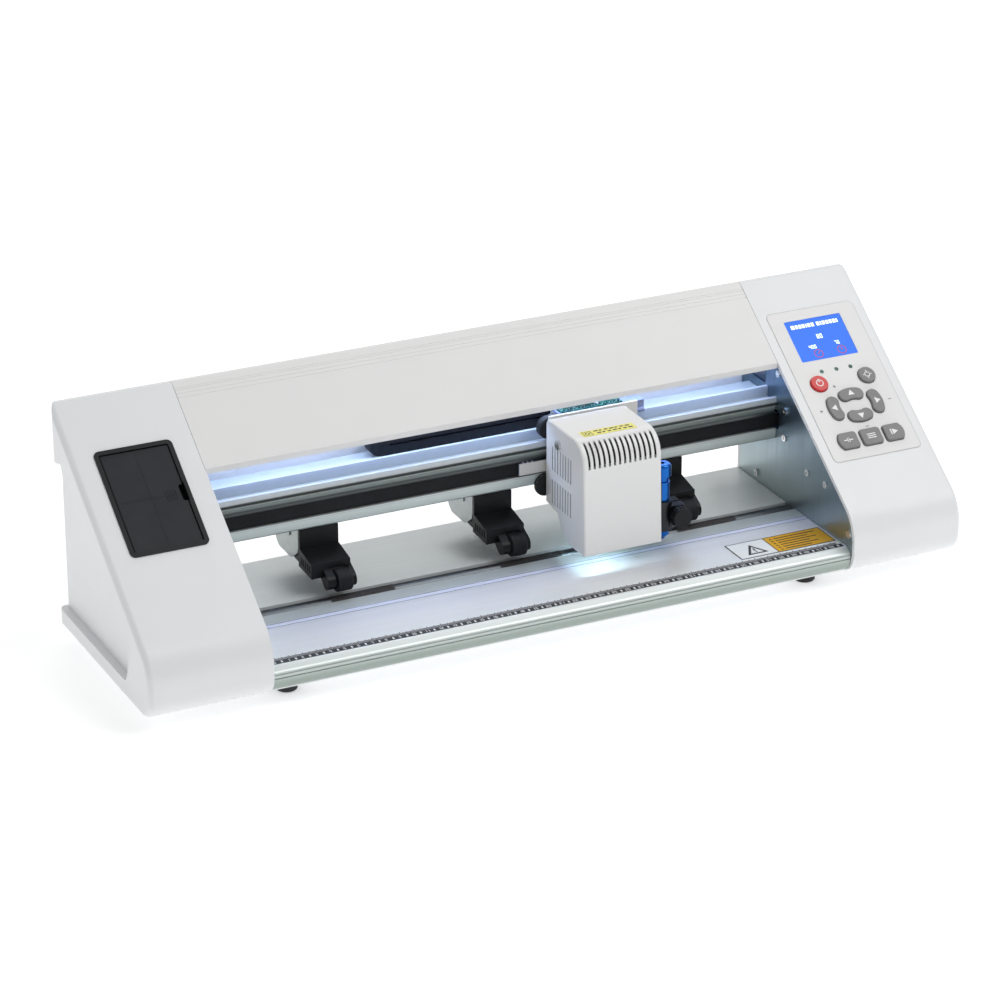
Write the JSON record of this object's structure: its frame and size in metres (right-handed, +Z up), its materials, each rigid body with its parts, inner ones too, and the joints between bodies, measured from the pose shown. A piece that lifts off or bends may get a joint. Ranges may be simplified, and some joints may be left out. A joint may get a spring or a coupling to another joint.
{
  "type": "desktop vinyl cutter",
  "caption": "Desktop vinyl cutter: white end housings with tray and keypad, a head sliding on a beam over the bed, pinch arms above a grit roller, sloping cover",
  "frame": {"origin": "middle of the footprint, on the surface the feet stand on", "axes": "+X along the beam towards the control panel, +Y to the rear, +Z up; the front is at -Y"},
  "size_m": [0.61, 0.176, 0.1714],
  "materials": {
    "shell_white": "satin moulded",
    "cover_white": "satin paint",
    "head_white": "satin moulded",
    "plate_steel": "satin paint",
    "screw_steel": "bright",
    "bed_aluminium": "satin anodised",
    "strip_dark": "matt",
    "ruler_white": "matt",
    "shaft_steel": "ground",
    "grit_dark": "knurled",
    "belt_black": "toothed",
    "motor_black": "painted",
    "pulley_metal": "machined",
    "bracket_steel": "zinc plated",
    "arm_black": "fine texture",
    "wheel_rubber": "ground",
    "chain_black": "matt",
    "lamp_white": "clear",
    "board_green": "solder mask",
    "holder_blue": "anodised",
    "knob_black": "knurled",
    "slide_black": "black anodised",
    "solenoid_steel": "plated",
    "tray_black": "fine texture",
    "lid_black": "fine texture",
    "overlay_grey": "matt film",
    "screen_blue": "lit",
    "key_grey": "satin",
    "key_red": "satin",
    "switch_black": "gloss",
    "foot_rubber": "matt"
  },
  "bodies": {
    "frame": {"left_housing": "shell_white", "right_housing": "shell_white", "top_cover": "cover_white", "left_side_plate": "plate_steel", "right_side_plate": "plate_steel", "front_platen": "bed_aluminium", "rear_platen": "bed_aluminium", "ruler_strip": "ruler_white", "cutting_strip": "strip_dark", "stepper_motors": "motor_black", "feed_belt": "belt_black", "drive_belt": "belt_black", "belt_brackets": "bracket_steel", "beam": "bed_aluminium", "cable_chain": "chain_black", "light_strip": "lamp_white", "tray_well": "tray_black", "control_overlay": "overlay_grey", "lcd_module": "screen_blue", "keypad_board": "board_green", "main_board": "board_green", "switch_body": "switch_black", "rubber_feet": "foot_rubber", "plate_screws": "screw_steel", "pinch_brackets": "bracket_steel"},
    "grit_roller": {"grit_shaft": "shaft_steel", "grit_sleeves": "grit_dark", "shaft_pulley": "pulley_metal"},
    "feed_pinion": {"feed_motor_pulley": "pulley_metal"},
    "carriage": {"head_cover": "head_white", "head_screws": "screw_steel", "carriage_plate": "bracket_steel", "lift_solenoid": "solenoid_steel", "carriage_board": "board_green"},
    "roller_left": {"left_roller": "wheel_rubber"},
    "roller_right": {"right_roller": "wheel_rubber"},
    "drive_pulley": {"motor_pulley": "pulley_metal"},
    "return_pulley": {"idler_pulley": "pulley_metal"},
    "cam": {"cam_shaft": "shaft_steel", "lift_lever": "knob_black"},
    "tool": {"tool_slide": "slide_black", "blade_holder": "holder_blue"},
    "knob": {"clamp_knob": "knob_black"},
    "lid": {"tray_lid": "lid_black"},
    "rocker": {"power_rocker": "switch_black"},
    "arm_1": {"pinch_arm_1": "arm_black"},
    "wheel_1": {"pinch_wheel_1": "wheel_rubber"},
    "arm_2": {"pinch_arm_2": "arm_black"},
    "wheel_2": {"pinch_wheel_2": "wheel_rubber"},
    "arm_3": {"pinch_arm_3": "arm_black"},
    "wheel_3": {"pinch_wheel_3": "wheel_rubber"},
    "reset_key": {"reset_button": "key_red"},
    "origin_key": {"origin_button": "key_grey"},
    "up_key": {"up_button": "key_grey"},
    "down_key": {"down_button": "key_grey"},
    "left_key": {"left_button": "key_grey"},
    "right_key": {"right_button": "key_grey"},
    "offline_key": {"offline_button": "key_grey"},
    "setup_key": {"setup_button": "key_grey"},
    "test_key": {"test_button": "key_grey"}
  },
  "joints": [
    {"name": "grit_roller_spin", "type": "hinge", "parent": "frame", "child": "grit_roller", "pos_m": [0, 0.0013, 0.025], "axis": [1, 0, 0], "continuous": true},
    {"name": "feed_pinion_spin", "type": "hinge", "parent": "frame", "child": "feed_pinion", "pos_m": [-0.2305, 0.0233, 0.055], "axis": [1, 0, 0], "continuous": true},
    {"name": "carriage_slide", "type": "slide", "parent": "frame", "child": "carriage", "axis": [1, 0, 0], "range_m": [-0.225, 0.096]},
    {"name": "roller_left_spin", "type": "hinge", "parent": "carriage", "child": "roller_left", "pos_m": [0.038, 0.0284, 0.1123], "axis": [0, 1, 0], "range_deg": [-1700, 760]},
    {"name": "roller_right_spin", "type": "hinge", "parent": "carriage", "child": "roller_right", "pos_m": [0.088, 0.0284, 0.1123], "axis": [0, 1, 0], "range_deg": [-1700, 760]},
    {"name": "drive_pulley_spin", "type": "hinge", "parent": "frame", "child": "drive_pulley", "pos_m": [0.248, 0.038, 0.08575], "axis": [0, 0, 1], "range_deg": [-1400, 650]},
    {"name": "return_pulley_spin", "type": "hinge", "parent": "frame", "child": "return_pulley", "pos_m": [-0.24, 0.038, 0.08575], "axis": [0, 0, 1], "range_deg": [-1400, 650]},
    {"name": "lift_lever_turn", "type": "hinge", "parent": "frame", "child": "cam", "pos_m": [0, 0.0613, 0.064], "axis": [1, 0, 0], "range_deg": [-100, 0]},
    {"name": "arm_1_tilt", "type": "hinge", "parent": "frame", "child": "arm_1", "pos_m": [-0.1364, 0.0443, 0.063], "axis": [1, 0, 0], "range_deg": [0, 4.5]},
    {"name": "wheel_1_spin", "type": "hinge", "parent": "arm_1", "child": "wheel_1", "pos_m": [-0.1298, 0.0033, 0.0408], "axis": [1, 0, 0], "continuous": true},
    {"name": "arm_2_tilt", "type": "hinge", "parent": "frame", "child": "arm_2", "pos_m": [-0.0054, 0.0443, 0.063], "axis": [1, 0, 0], "range_deg": [0, 4.5]},
    {"name": "wheel_2_spin", "type": "hinge", "parent": "arm_2", "child": "wheel_2", "pos_m": [0.0012, 0.0033, 0.0408], "axis": [1, 0, 0], "continuous": true},
    {"name": "arm_3_tilt", "type": "hinge", "parent": "frame", "child": "arm_3", "pos_m": [0.1286, 0.0443, 0.063], "axis": [1, 0, 0], "range_deg": [0, 4.5]},
    {"name": "wheel_3_spin", "type": "hinge", "parent": "arm_3", "child": "wheel_3", "pos_m": [0.1352, 0.0033, 0.0408], "axis": [1, 0, 0], "continuous": true},
    {"name": "tool_drop", "type": "slide", "parent": "carriage", "child": "tool", "axis": [0, 0, 1], "range_m": [-0.0052, 0], "stiffness_N_per_m": 400, "springref_m": 0.004},
    {"name": "knob_turn", "type": "hinge", "parent": "tool", "child": "knob", "pos_m": [0.1105, -0.0331, 0.0548], "axis": [0, 1, 0], "range_deg": [-360, 0]},
    {"name": "lid_hinge", "type": "hinge", "parent": "frame", "child": "lid", "pos_m": [-0.284, 0.01394, 0.1207], "axis": [0, -0.8131, -0.5821], "range_deg": [0, 95]},
    {"name": "power_rocker_tilt", "type": "hinge", "parent": "frame", "child": "rocker", "pos_m": [0.2855, 0.0765, 0.0392], "axis": [1, 0, 0], "range_deg": [-12, 0]},
    {"name": "reset_key_press", "type": "slide", "parent": "frame", "child": "reset_key", "axis": [0, -0.5821, 0.8131], "range_m": [-0.0012, 0], "stiffness_N_per_m": 300, "springref_m": 0.0005},
    {"name": "origin_key_press", "type": "slide", "parent": "frame", "child": "origin_key", "axis": [0, -0.5821, 0.8131], "range_m": [-0.0012, 0], "stiffness_N_per_m": 300, "springref_m": 0.0005},
    {"name": "up_key_press", "type": "slide", "parent": "frame", "child": "up_key", "axis": [0, -0.5821, 0.8131], "range_m": [-0.0012, 0], "stiffness_N_per_m": 300, "springref_m": 0.0005},
    {"name": "down_key_press", "type": "slide", "parent": "frame", "child": "down_key", "axis": [0, -0.5821, 0.8131], "range_m": [-0.0012, 0], "stiffness_N_per_m": 300, "springref_m": 0.0005},
    {"name": "left_key_press", "type": "slide", "parent": "frame", "child": "left_key", "axis": [0, -0.5821, 0.8131], "range_m": [-0.0012, 0], "stiffness_N_per_m": 300, "springref_m": 0.0005},
    {"name": "right_key_press", "type": "slide", "parent": "frame", "child": "right_key", "axis": [0, -0.5821, 0.8131], "range_m": [-0.0012, 0], "stiffness_N_per_m": 300, "springref_m": 0.0005},
    {"name": "offline_key_press", "type": "slide", "parent": "frame", "child": "offline_key", "axis": [0, -0.5821, 0.8131], "range_m": [-0.0012, 0], "stiffness_N_per_m": 300, "springref_m": 0.0005},
    {"name": "setup_key_press", "type": "slide", "parent": "frame", "child": "setup_key", "axis": [0, -0.5821, 0.8131], "range_m": [-0.0012, 0], "stiffness_N_per_m": 300, "springref_m": 0.0005},
    {"name": "test_key_press", "type": "slide", "parent": "frame", "child": "test_key", "axis": [0, -0.5821, 0.8131], "range_m": [-0.0012, 0], "stiffness_N_per_m": 300, "springref_m": 0.0005}
  ],
  "couplings": [
    {"joint": "feed_pinion_spin", "follows": "grit_roller_spin", "ratio": 1.5789},
    {"joint": "roller_left_spin", "follows": "carriage_slide", "rad_per_m": 125},
    {"joint": "roller_right_spin", "follows": "carriage_slide", "rad_per_m": 125},
    {"joint": "drive_pulley_spin", "follows": "carriage_slide", "rad_per_m": 100},
    {"joint": "return_pulley_spin", "follows": "carriage_slide", "rad_per_m": 100},
    {"joint": "arm_1_tilt", "follows": "lift_lever_turn", "ratio": -0.045},
    {"joint": "arm_2_tilt", "follows": "lift_lever_turn", "ratio": -0.045},
    {"joint": "arm_3_tilt", "follows": "lift_lever_turn", "ratio": -0.045}
  ]
}
